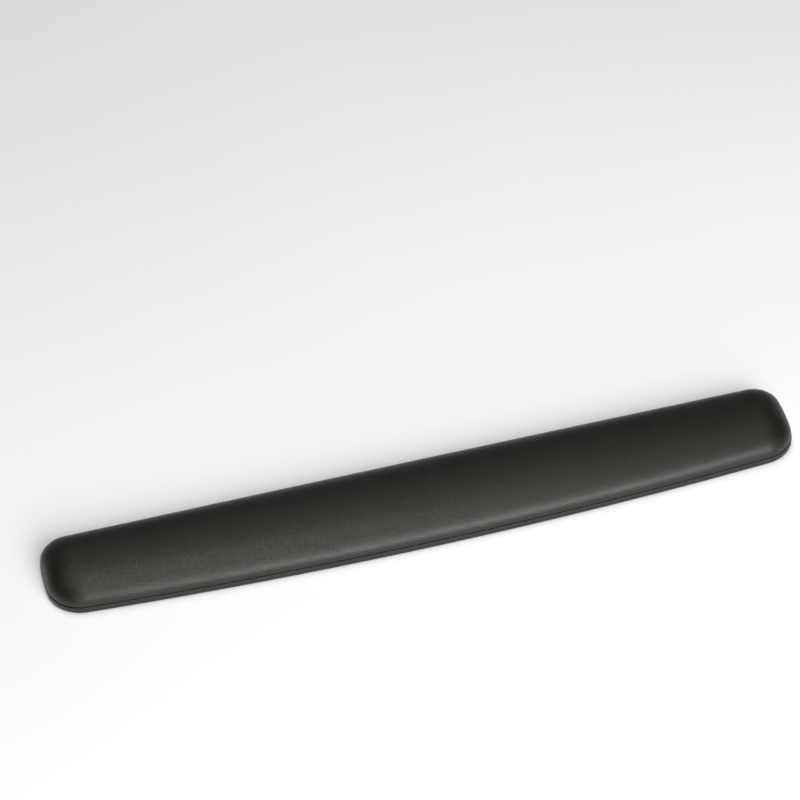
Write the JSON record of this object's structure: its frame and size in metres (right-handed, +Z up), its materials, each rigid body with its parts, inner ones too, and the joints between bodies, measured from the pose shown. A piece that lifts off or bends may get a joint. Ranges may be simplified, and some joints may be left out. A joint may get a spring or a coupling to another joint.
{
  "type": "keyboard wrist rest",
  "caption": "Long low gel wrist rest with a leatherette cover over a soft crowned pad, on a rigid base with a non-skid underside.",
  "frame": {"origin": "centre of the footprint's bounding box, at the underside that rests on the desk", "axes": "+X along the length, to the right as the user sits; +Y away from the user, towards the keyboard; +Z up"},
  "size_m": [0.4826, 0.0698, 0.0191],
  "materials": {
    "leatherette": "satin black grained leatherette, coated face outwards",
    "liner_foam": "thin dark grey open-cell foam with a knit backing",
    "bladder_film": "clear polyurethane film with a fine matt emboss",
    "gel": "soft translucent blue-grey gel",
    "tape": "off-white double-sided tape",
    "base_plastic": "black moulded plastic, fine spark texture",
    "non_skid": "matt black rubber with small raised grip dots"
  },
  "bodies": {
    "root": {"leatherette_cover": "leatherette", "foam_liner": "liner_foam", "bladder_upper_film": "bladder_film", "bladder_lower_film": "bladder_film", "gel_core": "gel", "pad_tape": "tape", "base_tray": "base_plastic", "hem_tape": "tape", "sheet_adhesive": "tape", "non_skid_sheet": "non_skid"}
  },
  "joints": []
}
